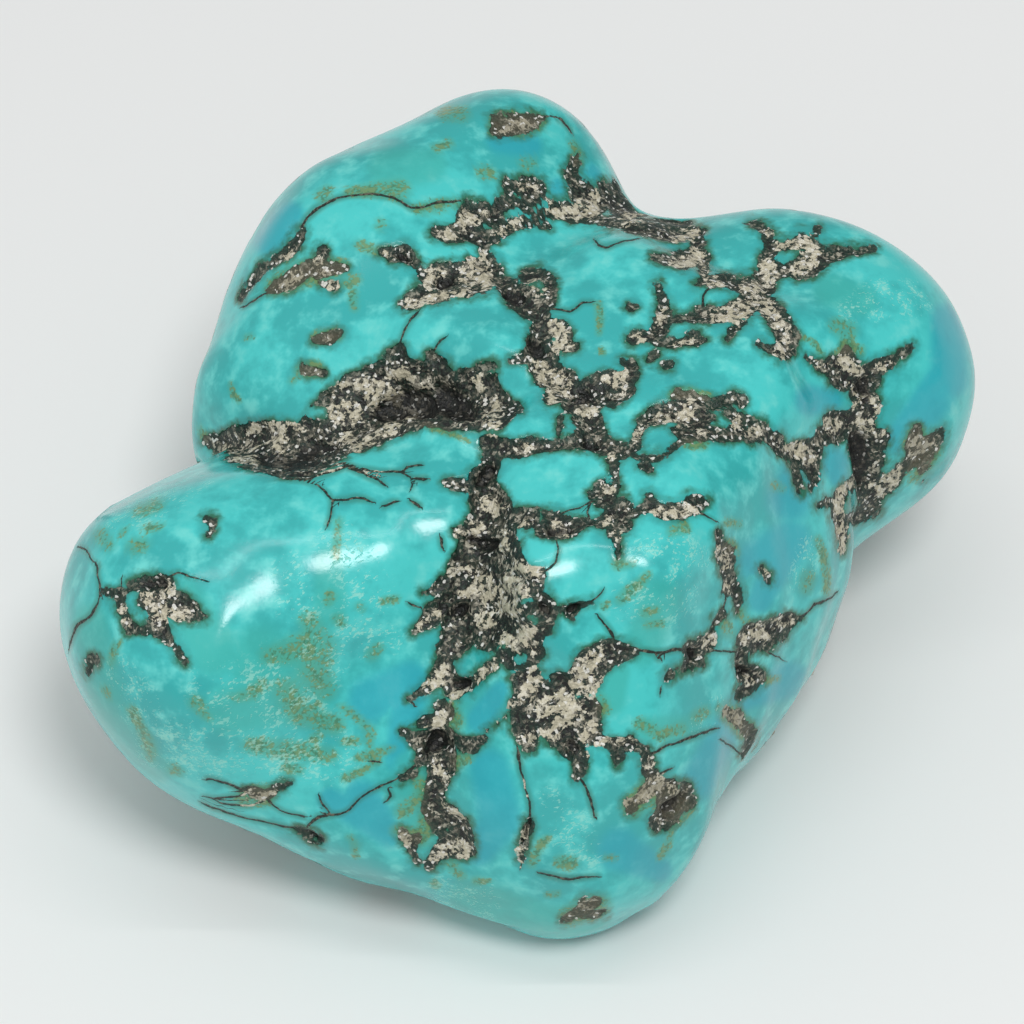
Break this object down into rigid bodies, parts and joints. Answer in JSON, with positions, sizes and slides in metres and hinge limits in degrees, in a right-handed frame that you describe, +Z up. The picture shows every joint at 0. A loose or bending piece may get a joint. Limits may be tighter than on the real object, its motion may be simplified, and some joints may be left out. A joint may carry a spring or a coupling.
{
  "type": "tumbled turquoise nugget",
  "caption": "Hand-sized polished turquoise nugget of rounded lobes with sunken dark matrix seams and a flat underside to rest on.",
  "frame": {"origin": "under the middle of the stone's box, at the height of the flat underside it rests on", "axes": "+X along the stone's longest side, towards its single round knob; -Y towards its steep front foot; +Z up from the resting face"},
  "size_m": [0.0592, 0.0561, 0.031],
  "materials": {
    "turquoise": "polished turquoise with dark and cream host-rock matrix"
  },
  "bodies": {
    "root": {"turquoise_nugget": "turquoise"}
  },
  "joints": []
}
